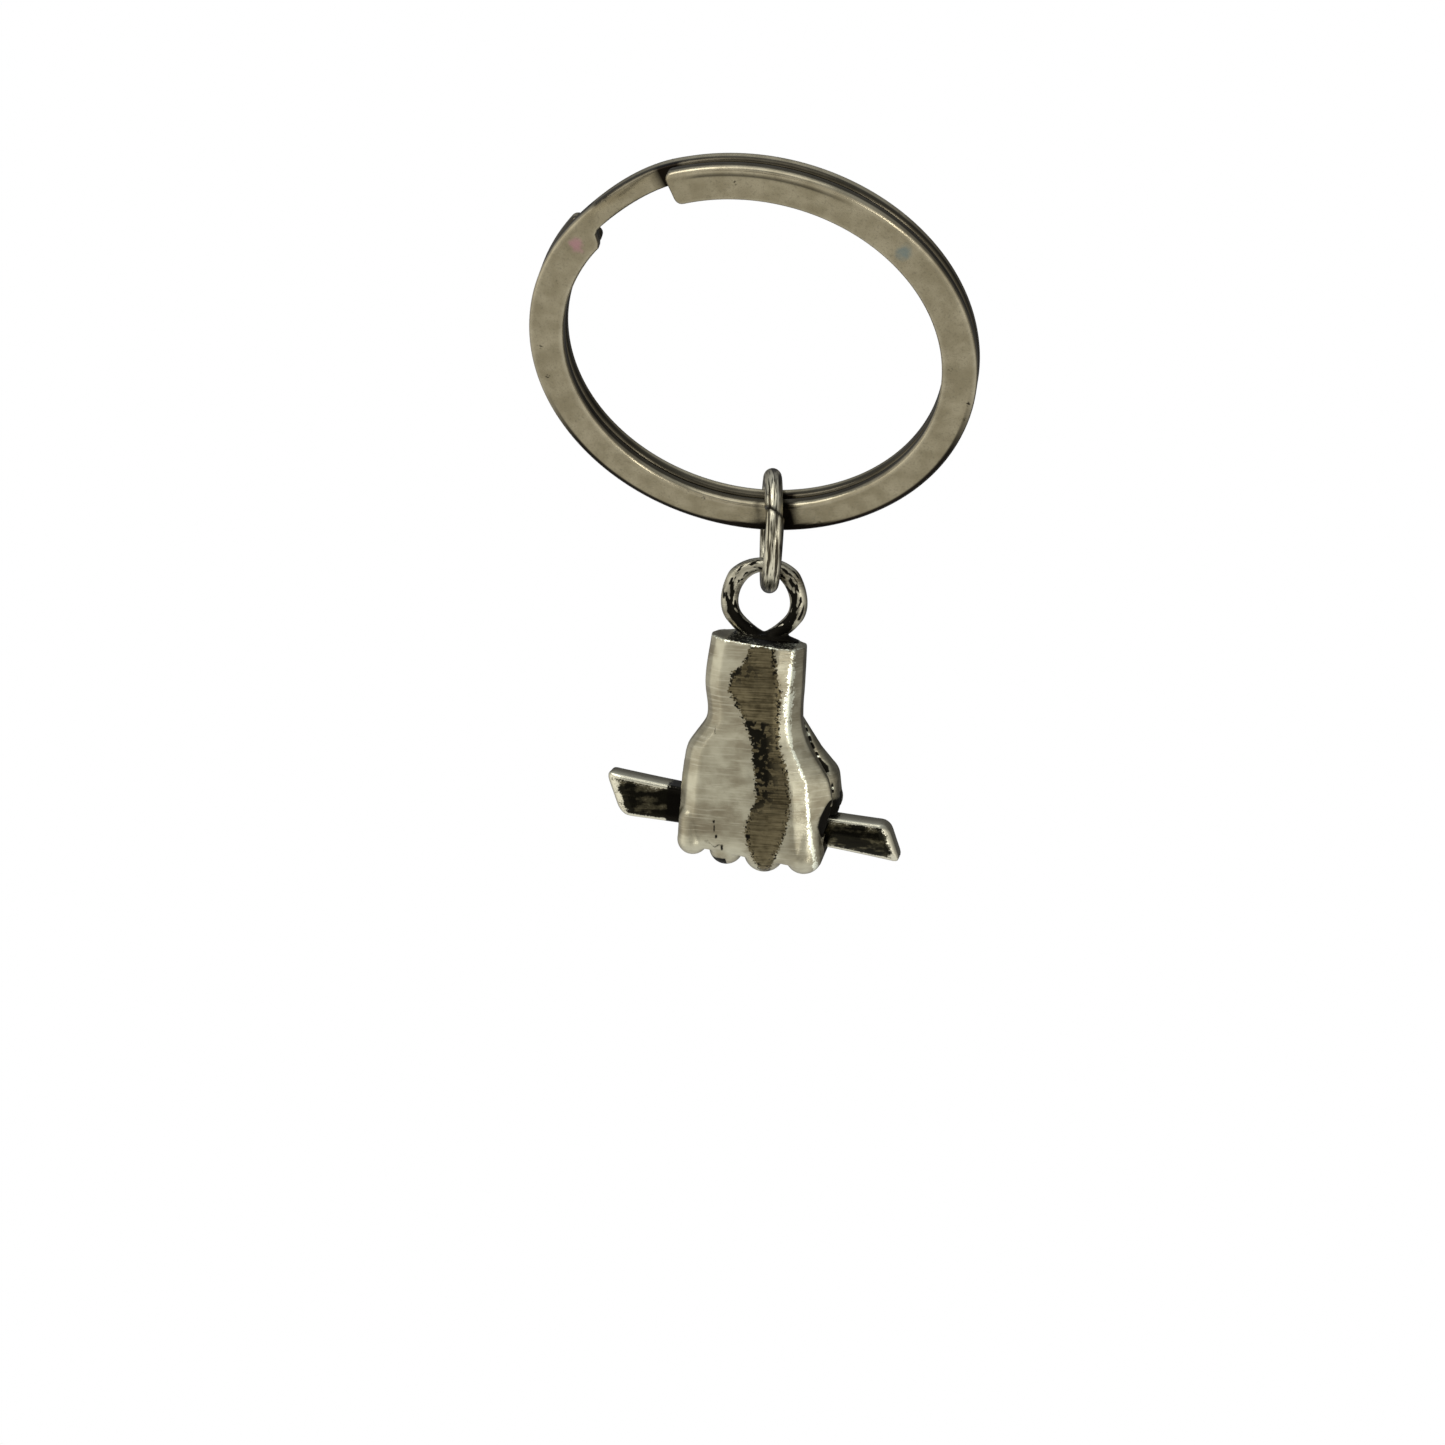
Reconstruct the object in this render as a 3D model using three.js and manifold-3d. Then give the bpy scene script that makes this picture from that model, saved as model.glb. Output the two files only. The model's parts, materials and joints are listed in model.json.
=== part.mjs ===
// A souvenir keychain: a flat split ring, a round-wire jump ring hung on it, and a cast fist that hangs
// from the jump ring by a soldered eye and grips a bar.
//
// Millimetres, +Z up, +X to the right, +Y away from the viewer. The origin is the point inside the top of
// the split ring, between its two turns, where a hook or a finger holds it. The split ring leans with its
// top towards the viewer; the jump ring and the fist hang straight down. The back of the hand faces -Y,
// the fingertips face +Y, and the thumb is on the +X side.
import * as THREE from "three";
import { mergeVertices } from "three/addons/utils/BufferGeometryUtils.js";
import Module from "manifold-3d";

const wasm = await Module();
wasm.setup();

// ---- Driving dimensions -----------------------------------------------------------------------------

// Split ring: one flat spring-steel strip wound twice round, with a short crossover from front to back.
const RING_OUTER_DIAMETER = 30;
const STRIP_WIDTH = 2.35; // across the strip, from the ring's outside to its hole
const STRIP_THICKNESS = 0.93;
const STRIP_CHAMFER = 0.2; // stands for the strip's rounded edges
const TURN_GAP = 0.08; // between the two turns
const RING_LEAN_DEG = 33; // from upright, top towards the viewer
const CROSSOVER_AT_DEG = 120; // middle of the crossover, counterclockwise from the right, seen from the front
const CROSSOVER_SPAN_DEG = 28.5;
const CROSSOVER_PINCH = 0.85; // how much narrower the strip is there, taken off its inner edge
const RING_STEP_DEG = 4.5;

// Jump ring: one turn of round wire with a butt seam.
const LINK_WIRE_DIAMETER = 1.28;
const LINK_PLAY = 1.9; // room left in its hole beside the split ring's strip and the eye's wire
const LINK_TURN_DEG = 12.5; // about the vertical
const LINK_SHIFT = -0.12; // along the split ring, to the left of its lowest point
const LINK_SEAM_DEG = 41; // above the front of the ring
const LINK_SEAM_GAP = 0.12;
const LINK_SEAM_OFFSET = 0.2; // sideways, between the two ends
const LINK_STEPS = 40;

// Eye: a wire ring soldered on the wrist's end.
const EYE_WIRE_DIAMETER = 1.28;
const EYE_HOLE_DIAMETER = 3.75;
const EYE_SHIFT = -0.5; // the charm hangs this far to the left of the split ring's lowest point
const EYE_BITE = 0.25; // how far the ring's underside is ground away to stand on the wrist
const FOOT_WIDTH = 5.4; // the solder fillet round the eye's foot
const FOOT_DEPTH = 1.9;
const FOOT_HEIGHT = 0.55;

// Fist: wrist, back of the hand, four curled fingers and a thumb, cast in one piece.
const WRIST_WIDTH = 7.05;
const WRIST_DEPTH = 4.5;
const WRIST_LENGTH = 5.4;
const WRIST_TOP_SLOPE_DEG = 6.5; // its end face, down towards the thumb
const WRIST_OFFSET = -0.6; // its middle from the eye, sideways
const HAND_SETBACK = -0.85; // the wrist's middle lies this far in front of the eye, so the fist hangs plumb
const HEEL_LENGTH = 3.4; // over which the wrist widens into the hand
const PALM_DEPTH = 3.7;
const PALM_OFFSET = -0.23; // the hand's middle from the wrist's middle, sideways
const GRIP_PLAY = 0.45; // room between the fingers, in front of the bar and behind it
const CURL_LIFT = 0.35; // how much higher the fingers' middle joints lie than the knuckles
// From the little finger to the index finger: width, and the drop from the wrist's end to the knuckle's tip.
const FINGERS = [
  { width: 2.25, drop: 15.9 },
  { width: 2.5, drop: 16.55 },
  { width: 3.05, drop: 16.95 },
  { width: 2.75, drop: 16.85 },
];
const THUMB_WIDTH = 2.7;

// Bar: passes through the fist, both ends cut on the slant, a little thicker towards its ends.
const BAR_LENGTH = 20.7;
const BAR_HEIGHT = 2.6;
const BAR_DEPTH = 2.1;
const BAR_EDGE = 0.35; // bevel round both faces
const BAR_FLARE = 0.28; // extra half height at each end
const BAR_SLOPE_DEG = 7; // down towards the thumb
const BAR_CUT_DEG = 26; // end faces, from square
const BAR_BITE = 0.8; // how far it is sunk into the curled fingers
const BAR_SHIFT = -0.24; // its middle from the hand's middle, sideways

// Fits.
const HANG_GAP = 0.1; // where one ring hangs on another
const SOLDER_GAP = 0.05; // between the eye's foot and the wrist's end
const BAR_GAP = 0.06; // all round the bar in its tunnel

// ---- Helpers ----------------------------------------------------------------------------------------

const rad = THREE.MathUtils.degToRad;
const at = (x, y, z) => new THREE.Vector3(x, y, z);

// A closed geometry as a solid that can be joined and cut.
function solidOf(geometry) {
  const bare = geometry.clone();
  bare.deleteAttribute("normal");
  bare.deleteAttribute("uv");
  const merged = mergeVertices(bare, 1e-4);
  return new wasm.Manifold(
    new wasm.Mesh({
      numProp: 3,
      vertProperties: new Float32Array(merged.attributes.position.array),
      triVerts: new Uint32Array(merged.index.array),
    }),
  );
}

// A solid as a geometry that a mesh can carry.
function geometryOf(solid) {
  const mesh = solid.getMesh();
  const geometry = new THREE.BufferGeometry();
  geometry.setAttribute("position", new THREE.BufferAttribute(mesh.vertProperties.slice(), 3));
  geometry.setIndex(new THREE.BufferAttribute(mesh.triVerts.slice(), 1));
  geometry.computeVertexNormals();
  return geometry;
}

// Moves every vertex of a geometry by a rule.
function reshape(geometry, rule) {
  const places = geometry.attributes.position;
  const p = new THREE.Vector3();
  for (let i = 0; i < places.count; i += 1) {
    p.fromBufferAttribute(places, i);
    rule(p);
    places.setXYZ(i, p.x, p.y, p.z);
  }
  geometry.computeVertexNormals();
  return geometry;
}

// A round-ended limb between two points.
function limb(from, to, radius) {
  const along = to.clone().sub(from);
  const geometry = new THREE.CapsuleGeometry(radius, along.length(), 4, 12);
  const turn = new THREE.Quaternion().setFromUnitVectors(at(0, 1, 0), along.clone().normalize());
  geometry.applyQuaternion(turn);
  geometry.translate(...from.clone().add(to).multiplyScalar(0.5));
  return geometry;
}

function metalMesh(name, geometry, material) {
  const mesh = new THREE.Mesh(geometry, material);
  mesh.name = name;
  return mesh;
}

const platedSteel = new THREE.MeshStandardMaterial({ color: 0x9f9883, roughness: 0.3, metalness: 1 });
const platedWire = new THREE.MeshStandardMaterial({ color: 0xa39c88, roughness: 0.3, metalness: 1 });
const castPewter = new THREE.MeshStandardMaterial({ color: 0xa6a08a, roughness: 0.38, metalness: 1 });
const darkPewter = new THREE.MeshStandardMaterial({ color: 0x6b6656, roughness: 0.28, metalness: 1 });

// ---- Split ring -------------------------------------------------------------------------------------

const ringOuterRadius = RING_OUTER_DIAMETER / 2;
const ringMiddleRadius = ringOuterRadius - STRIP_WIDTH / 2;
const ringHoleRadius = ringOuterRadius - STRIP_WIDTH;
const layerOffset = (STRIP_THICKNESS + TURN_GAP) / 2;
const lean = rad(RING_LEAN_DEG);
const ringUp = at(0, -Math.sin(lean), Math.cos(lean));
const ringBack = at(0, Math.cos(lean), Math.sin(lean));
const ringCentre = ringUp.clone().multiplyScalar(-ringHoleRadius);

// The strip's middle line: the front turn, the crossover, then the turn behind it.
class CoilPath extends THREE.Curve {
  getPoint(t) {
    const turnDeg = 360 - CROSSOVER_SPAN_DEG;
    const travelled = t * (2 * turnDeg + CROSSOVER_SPAN_DEG);
    const angle = rad(CROSSOVER_AT_DEG - CROSSOVER_SPAN_DEG / 2 - travelled);
    const crossed = THREE.MathUtils.smoothstep(travelled, turnDeg, turnDeg + CROSSOVER_SPAN_DEG);
    const depth = THREE.MathUtils.lerp(-layerOffset, layerOffset, crossed);
    return at(ringMiddleRadius * Math.cos(angle), depth, ringMiddleRadius * Math.sin(angle));
  }
  getPointAt(t) {
    return this.getPoint(t);
  }
  getTangentAt(t) {
    return this.getTangent(t);
  }
}

// A rectangle with cut corners, centred on the origin.
function chamferedSection(width, height, cut) {
  const x = width / 2;
  const y = height / 2;
  const corners = [
    [x, y - cut], [x - cut, y], [cut - x, y], [-x, y - cut],
    [-x, cut - y], [cut - x, -y], [x - cut, -y], [x, cut - y],
  ];
  return new THREE.Shape(corners.map(([u, v]) => new THREE.Vector2(u, v)));
}

function splitRing() {
  const sweepDeg = 720 - CROSSOVER_SPAN_DEG;
  const geometry = new THREE.ExtrudeGeometry(
    chamferedSection(STRIP_THICKNESS, STRIP_WIDTH, STRIP_CHAMFER),
    { steps: Math.round(sweepDeg / RING_STEP_DEG), extrudePath: new CoilPath() },
  );
  // Only the crossover lies in its own stretch of angle, so the pinch needs no more than the angle.
  reshape(geometry, (p) => {
    const angle = THREE.MathUtils.radToDeg(Math.atan2(p.z, p.x));
    const inCrossover = 1 - Math.abs(angle - CROSSOVER_AT_DEG) / (CROSSOVER_SPAN_DEG / 2);
    if (inCrossover <= 0) return;
    const pinch = CROSSOVER_PINCH * THREE.MathUtils.smoothstep(inCrossover, 0, 0.6);
    const radius = Math.hypot(p.x, p.z);
    const fromOutside = (ringOuterRadius - radius) / STRIP_WIDTH;
    const factor = (radius + pinch * fromOutside) / radius;
    p.x *= factor;
    p.z *= factor;
  });
  const mesh = metalMesh("split_ring", geometry, platedSteel);
  mesh.position.copy(ringCentre);
  mesh.rotation.x = lean;
  return mesh;
}

// ---- Jump ring --------------------------------------------------------------------------------------

const stripDepth = 2 * STRIP_THICKNESS + TURN_GAP;
const linkHoleRadius = (Math.hypot(STRIP_WIDTH, stripDepth) + EYE_WIRE_DIAMETER + LINK_PLAY) / 2;
const linkMiddleRadius = linkHoleRadius + LINK_WIRE_DIAMETER / 2;

// It hangs on the highest corner of the strip at the split ring's lowest point.
const stripTopCorner = ringCentre
  .clone()
  .addScaledVector(ringUp, -ringHoleRadius)
  .addScaledVector(ringBack, stripDepth / 2);
const linkCentre = stripTopCorner.clone().add(at(LINK_SHIFT, 0, HANG_GAP - linkHoleRadius));

// Round in its own plane, and a little sideways from one end to the other.
class LinkPath extends THREE.Curve {
  getPoint(t) {
    const gap = LINK_SEAM_GAP / linkMiddleRadius;
    const angle = rad(LINK_SEAM_DEG) - gap / 2 - t * (2 * Math.PI - gap);
    const sideways = LINK_SEAM_OFFSET * (0.5 - t);
    return at(sideways, -linkMiddleRadius * Math.cos(angle), linkMiddleRadius * Math.sin(angle));
  }
}

function jumpRing() {
  const wire = new THREE.Shape().absarc(0, 0, LINK_WIRE_DIAMETER / 2, 0, 2 * Math.PI);
  const geometry = new THREE.ExtrudeGeometry(wire, {
    steps: LINK_STEPS,
    curveSegments: 12,
    extrudePath: new LinkPath(),
  });
  const mesh = metalMesh("jump_ring", geometry, platedWire);
  mesh.position.copy(linkCentre);
  mesh.rotation.z = rad(LINK_TURN_DEG);
  return mesh;
}

// ---- Eye --------------------------------------------------------------------------------------------

// The charm's own frame starts at the middle of the eye's hole.
const eyeMiddleRadius = (EYE_HOLE_DIAMETER + EYE_WIRE_DIAMETER) / 2;
const eyeOuterRadius = eyeMiddleRadius + EYE_WIRE_DIAMETER / 2;
const eyeCentre = at(
  EYE_SHIFT,
  linkCentre.y,
  linkCentre.z - linkHoleRadius - EYE_HOLE_DIAMETER / 2 + HANG_GAP,
);
const wristTop = EYE_BITE - eyeOuterRadius; // height of the wrist's end face, straight below the hole
const topSlope = Math.tan(rad(WRIST_TOP_SLOPE_DEG));
const wristTopAt = (x) => wristTop - topSlope * x;

function hangingEye() {
  const ring = new THREE.TorusGeometry(eyeMiddleRadius, EYE_WIRE_DIAMETER / 2, 12, 36);
  ring.rotateX(Math.PI / 2);
  const foot = new THREE.CylinderGeometry(0.72, 1, 1, 24);
  foot.rotateX(Math.PI / 2);
  foot.translate(0, 0, 0.5);
  reshape(foot, (p) => {
    p.x *= FOOT_WIDTH / 2;
    p.y *= FOOT_DEPTH / 2;
    p.z = wristTopAt(p.x) + SOLDER_GAP + p.z * FOOT_HEIGHT;
  });
  // Everything below the wrist's end face is ground away.
  const below = 2 * eyeOuterRadius;
  const ground = new THREE.BoxGeometry(2 * FOOT_WIDTH, 2 * FOOT_WIDTH, below);
  reshape(ground, (p) => {
    p.z += wristTopAt(p.x) + SOLDER_GAP - below / 2;
  });
  const eye = solidOf(ring).subtract(solidOf(ground)).add(solidOf(foot));
  return metalMesh("hanging_eye", geometryOf(eye), castPewter);
}

// ---- Bar --------------------------------------------------------------------------------------------

const fistWidth = FINGERS.reduce((sum, finger) => sum + finger.width, 0);
const wristMiddle = at(WRIST_OFFSET, HAND_SETBACK, 0);
const handMiddle = wristMiddle.x + PALM_OFFSET;
const knuckleDepth = HAND_SETBACK - WRIST_DEPTH / 2 + PALM_DEPTH / 2 - 0.15; // middle of the knuckle row
const fingerRadius = fistWidth / FINGERS.length / 2;
const gripDepth = BAR_DEPTH + 2 * fingerRadius + GRIP_PLAY; // from the knuckles to the middle joints
const fingerRise = BAR_HEIGHT + 2 * fingerRadius - BAR_BITE - CURL_LIFT; // and on up to the end joints
const barMiddle = at(
  handMiddle + BAR_SHIFT,
  knuckleDepth + gripDepth / 2,
  wristTop - FINGERS[1].drop + 2 * fingerRadius + BAR_HEIGHT / 2 - BAR_BITE,
);

// The bar's outline seen from the front: straight in the middle, flared ends cut on the slant.
function barGeometry(grow) {
  const half = BAR_LENGTH / 2 + grow;
  const middle = BAR_HEIGHT / 2 + grow - BAR_EDGE;
  const end = middle + BAR_FLARE;
  const lag = end * Math.tan(rad(BAR_CUT_DEG));
  const outline = new THREE.Shape();
  outline.moveTo(-half - lag + BAR_EDGE, end);
  outline.quadraticCurveTo(0, middle - BAR_FLARE, half - lag - BAR_EDGE, end);
  outline.lineTo(half + lag - BAR_EDGE, -end);
  outline.quadraticCurveTo(0, BAR_FLARE - middle, -half + lag + BAR_EDGE, -end);
  const depth = BAR_DEPTH + 2 * grow - 2 * BAR_EDGE;
  const geometry = new THREE.ExtrudeGeometry(outline, {
    depth,
    curveSegments: 8,
    bevelThickness: BAR_EDGE,
    bevelSize: BAR_EDGE,
    bevelSegments: 2,
  });
  geometry.translate(0, 0, -depth / 2);
  geometry.rotateX(Math.PI / 2);
  geometry.rotateY(rad(BAR_SLOPE_DEG));
  geometry.translate(...barMiddle);
  return geometry;
}

// ---- Fist -------------------------------------------------------------------------------------------

// The wrist and the back of the hand: one body whose section widens over the heel of the hand.
function wristAndPalm() {
  const length = FINGERS[0].drop - fingerRadius;
  const geometry = new THREE.CylinderGeometry(1, 1, 1, 28, 12);
  geometry.rotateX(Math.PI / 2);
  return reshape(geometry, (p) => {
    const down = (0.5 - p.z) * length;
    const hand = THREE.MathUtils.smoothstep(down, WRIST_LENGTH - 0.6, WRIST_LENGTH + HEEL_LENGTH - 0.6);
    const halfWidth = THREE.MathUtils.lerp(WRIST_WIDTH, fistWidth, hand) / 2;
    const halfDepth = THREE.MathUtils.lerp(WRIST_DEPTH, PALM_DEPTH, hand) / 2;
    const back = HAND_SETBACK - WRIST_DEPTH / 2 + halfDepth;
    const middle = THREE.MathUtils.lerp(wristMiddle.x, handMiddle, hand);
    const squareness = 0.68; // 1 is an ellipse, and less is squarer
    p.x = middle + halfWidth * Math.sign(p.x) * Math.abs(p.x) ** squareness;
    p.y = back + halfDepth * Math.sign(p.y) * Math.abs(p.y) ** squareness;
    p.z = wristTop - down - topSlope * p.x * Math.max(0, 1 - down / WRIST_LENGTH);
  });
}

// Three limbs a finger: back under the bar, up behind it, and in over it to the palm.
function curledFingers() {
  const limbs = [];
  let edge = handMiddle - fistWidth / 2;
  for (const finger of FINGERS) {
    const radius = finger.width / 2;
    const x = edge + radius;
    edge += finger.width;
    const low = wristTop - finger.drop + radius;
    const knuckle = at(x, knuckleDepth, low);
    const middleJoint = at(x, knuckleDepth + gripDepth, low + CURL_LIFT);
    const endJoint = at(x, knuckleDepth + gripDepth + 0.1, low + CURL_LIFT + fingerRise);
    const tip = at(x, knuckleDepth + PALM_DEPTH / 2 + 1.2, low + fingerRise + 1.5);
    limbs.push(limb(knuckle, middleJoint, radius + 0.03));
    limbs.push(limb(middleJoint, endJoint, radius + 0.01));
    limbs.push(limb(endJoint, tip, radius));
  }
  return limbs;
}

// From the wrist, out over the side of the hand, and across the index and middle fingers.
function wrappedThumb() {
  const radius = THUMB_WIDTH / 2;
  const side = handMiddle + fistWidth / 2;
  const outside = knuckleDepth + gripDepth;
  const root = at(wristMiddle.x + WRIST_WIDTH / 2 - radius - 0.2, HAND_SETBACK + 0.4, wristTop - WRIST_LENGTH - 0.2);
  const base = at(side - radius + 0.85, HAND_SETBACK + 2.1, wristTop - WRIST_LENGTH - 4.6);
  const joint = at(side - radius + 0.9, outside + 0.2, wristTop - WRIST_LENGTH - 7.2);
  const tip = at(side - 1.6 * FINGERS[3].width, outside + 2 * fingerRadius - 0.3, joint.z - 0.9);
  return [
    limb(root, base, radius + 0.1),
    limb(base, joint, radius),
    limb(joint, tip, radius - 0.15),
  ];
}

function fist() {
  let solid = solidOf(wristAndPalm());
  for (const part of [...curledFingers(), ...wrappedThumb()]) {
    solid = solid.add(solidOf(part));
  }
  solid = solid.subtract(solidOf(barGeometry(BAR_GAP)));
  return metalMesh("fist", geometryOf(solid), castPewter);
}

// ---- Assembly ---------------------------------------------------------------------------------------

const charm = new THREE.Group();
charm.position.copy(eyeCentre);
charm.add(hangingEye(), fist(), metalMesh("grip_bar", barGeometry(0), darkPewter));

const keychain = new THREE.Group();
keychain.add(splitRing(), jumpRing(), charm);

export default keychain;
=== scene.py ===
"""A keychain: a flat split ring, a jump ring, and a cast fist that grips a bar."""
import json
import math
from math import cos, pi, radians, sin

import bmesh
import bpy
from mathutils import Matrix, Vector, noise


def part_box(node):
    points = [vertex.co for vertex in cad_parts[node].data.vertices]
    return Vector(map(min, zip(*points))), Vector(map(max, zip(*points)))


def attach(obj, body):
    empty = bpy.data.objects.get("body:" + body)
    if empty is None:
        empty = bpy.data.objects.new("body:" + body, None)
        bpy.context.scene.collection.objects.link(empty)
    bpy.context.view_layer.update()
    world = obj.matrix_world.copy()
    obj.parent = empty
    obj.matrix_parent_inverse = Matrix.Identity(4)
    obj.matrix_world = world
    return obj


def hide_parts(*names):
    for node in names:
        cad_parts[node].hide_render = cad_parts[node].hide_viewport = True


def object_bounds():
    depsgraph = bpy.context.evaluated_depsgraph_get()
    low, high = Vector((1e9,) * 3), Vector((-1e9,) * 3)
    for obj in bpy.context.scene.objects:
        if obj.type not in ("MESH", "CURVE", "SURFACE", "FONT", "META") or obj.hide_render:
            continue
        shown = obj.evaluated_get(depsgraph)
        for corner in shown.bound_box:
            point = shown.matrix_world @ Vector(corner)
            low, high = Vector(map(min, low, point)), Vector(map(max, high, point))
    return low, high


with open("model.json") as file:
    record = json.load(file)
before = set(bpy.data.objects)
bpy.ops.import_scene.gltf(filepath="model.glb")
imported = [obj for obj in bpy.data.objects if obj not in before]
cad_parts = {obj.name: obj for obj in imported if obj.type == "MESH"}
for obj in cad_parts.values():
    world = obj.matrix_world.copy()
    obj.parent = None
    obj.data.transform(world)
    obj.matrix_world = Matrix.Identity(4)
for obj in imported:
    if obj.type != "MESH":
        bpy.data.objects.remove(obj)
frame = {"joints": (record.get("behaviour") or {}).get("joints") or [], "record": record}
cad_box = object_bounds()


# ---- Split ring --------------------------------------------------------------
# One strip of spring steel, rolled flat with rounded edges, wound twice round on itself and nickel
# plated. Its two cut ends lie on the outsides of the coil, and a short narrowed crossover joins the
# turns.

MM = 0.001  # sizes are in millimetres, and the frame is in metres
STRIP_WIDTH = 2.35
STRIP_THICKNESS = 0.93
STRIP_EDGE = 0.24  # radius of the rolled edges
STRIP_END_CORNER = 0.5  # radius of the cut ends' corners
TURN_GAP = 0.06
STRIP_CUTS = 420  # along the strip, so that it bends smoothly
STRIP_FLAT = STRIP_WIDTH / 2 - 0.36  # from its middle to where its edges start to shine
CROSSOVER_AT = 120  # degrees counterclockwise from the right, seen from the front
CROSSOVER_SPAN = 28.5
CROSSOVER_PINCH = 0.95
CROSSOVER_BULGE = 1.1  # how far the strip's middle swells as it is bent across
FRONT_TURN = 360 - CROSSOVER_SPAN  # degrees of strip in front, before the crossover
# Black for painted shade and dark reflections, and where the painted shadow lies beside the jump
# ring, from the split ring's lowest point.
SHADE_BLACK = (0.008, 0.006, 0.004, 1)
SHADOW_RIGHT = 1.2
SHADOW_LEFT = -0.85
# Tarnished spots: degrees along the strip from its front end, and 1 for pink or -1 for blue.
TARNISHED = [(327, 1), (66, -1)]
TARNISH_SPREAD = (3.2, 0.8)  # degrees along the strip, and across it


def mm_box(node):
    """A node's lowest and highest corners in millimetres."""
    return [Vector(corner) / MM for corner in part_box(node)]


def smooth_step(low, high, value):
    """0 below low, 1 above high, and an even curve between."""
    t = min(max((value - low) / (high - low), 0), 1)
    return t * t * (3 - 2 * t)


def mix(a, b, t):
    """A value between a, where t is 0, and b, where it is 1."""
    return a + (b - a) * t


def edges_on_y(shape, wanted):
    """A shape's edges that run along Y, or those that don't."""
    return [e for e in shape.edges if (abs((e.verts[0].co - e.verts[1].co).y) > 0.1) == wanted]


def round_off(shape, edges, radius, segments):
    """Rounds some of a shape's edges."""
    bmesh.ops.bevel(
        shape, geom=edges, offset=radius, segments=segments, profile=0.5,
        affect="EDGES", material=-1,
    )


def score_across(shape, axis, levels):
    """Adds a loop of vertices round a shape at each level along an axis."""
    for level in levels:
        bmesh.ops.bisect_plane(
            shape, geom=shape.verts[:] + shape.edges[:] + shape.faces[:], dist=0.0001,
            plane_co=level * axis, plane_no=axis,
        )


def move_each(shape, rule):
    """Moves every vertex of a bmesh by a rule that takes and gives a point."""
    for vert in shape.verts:
        vert.co = rule(vert.co)


def finished(name, shape, finish, body, nodes):
    """Turns a bmesh in millimetres into a piece in metres, with its normals outwards."""
    bmesh.ops.scale(shape, vec=(MM, MM, MM), verts=shape.verts)
    bmesh.ops.recalc_face_normals(shape, faces=shape.faces)
    mesh = bpy.data.meshes.new(name)
    shape.to_mesh(mesh)
    shape.free()
    mesh.shade_smooth()
    mesh.materials.append(finish)
    piece = bpy.data.objects.new(name, mesh)
    bpy.context.scene.collection.objects.link(piece)
    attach(piece, body)
    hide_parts(*nodes)
    return piece


class Socket:
    """A value on a shader's surface. Arithmetic on it adds the Math nodes."""

    def __init__(self, tree, link=None):
        self.tree = tree
        self.link = link

    def node(self, kind, settings=None, inputs=None, output=0):
        """Adds any node: its settings first, then the values or links of its sockets."""
        made = self.tree.nodes.new("ShaderNode" + kind)
        for setting, value in (settings or {}).items():
            setattr(made, setting, value)
        for key, value in (inputs or {}).items():
            if isinstance(value, Socket):
                self.tree.links.new(value.link, made.inputs[key])
            else:
                made.inputs[key].default_value = value
        return Socket(self.tree, made.outputs[output])

    def math(self, operation, first, second):
        return self.node("Math", {"operation": operation}, {0: first, 1: second})

    def __add__(self, other):
        return self.math("ADD", self, other)

    __radd__ = __add__

    def __sub__(self, other):
        return self.math("SUBTRACT", self, other)

    def __rsub__(self, other):
        return self.math("SUBTRACT", other, self)

    def __mul__(self, other):
        return self.math("MULTIPLY", self, other)

    __rmul__ = __mul__

    def between(self, low, high):
        """0 where the value is below low, 1 above high, smooth between."""
        return self.node(
            "MapRange",
            {"interpolation_type": "SMOOTHSTEP"},
            {"Value": self, "From Min": low, "From Max": high},
        )


def blend(start, first, second, amount):
    """A colour between two colours."""
    return start.node(
        "Mix", {"data_type": "RGBA"}, {"Factor": amount, 6: first, 7: second}, 2
    )


def grain(start, place, stretch, detail):
    """Noise over millimetres, as fine in each direction as stretch says."""
    spread = start.node("VectorMath", {"operation": "MULTIPLY"}, {0: place, 1: stretch})
    return start.node("TexNoise", {}, {"Vector": spread, "Scale": 1.0, "Detail": detail})


def solid_grain(start, stretch, detail):
    """Noise through a piece, as many times a millimetre along X, Y and Z as stretch says."""
    place = start.node("TexCoord", {}, {}, "Object")
    return grain(start, place, tuple(k / MM for k in stretch), detail)


def stored(start, name):
    """The number that a piece's vertices carry under a name."""
    return start.node("Attribute", {"attribute_name": name}, {}, "Fac")


def metal(name):
    """An empty metal finish and the socket that starts its expressions."""
    finish = bpy.data.materials.new(name)
    finish.use_nodes = True
    shader = finish.node_tree.nodes["Principled BSDF"]
    shader.inputs["Metallic"].default_value = 1
    return finish, shader, Socket(finish.node_tree)


def connect(shader, socket, value):
    value.tree.links.new(value.link, shader.inputs[socket])


def bumped(start, height, depth_mm):
    """A surface raised by height, from 0 to 1, times depth_mm."""
    return start.node(
        "Bump", {}, {"Height": height, "Distance": depth_mm * MM, "Strength": 1.0}
    )


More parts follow.
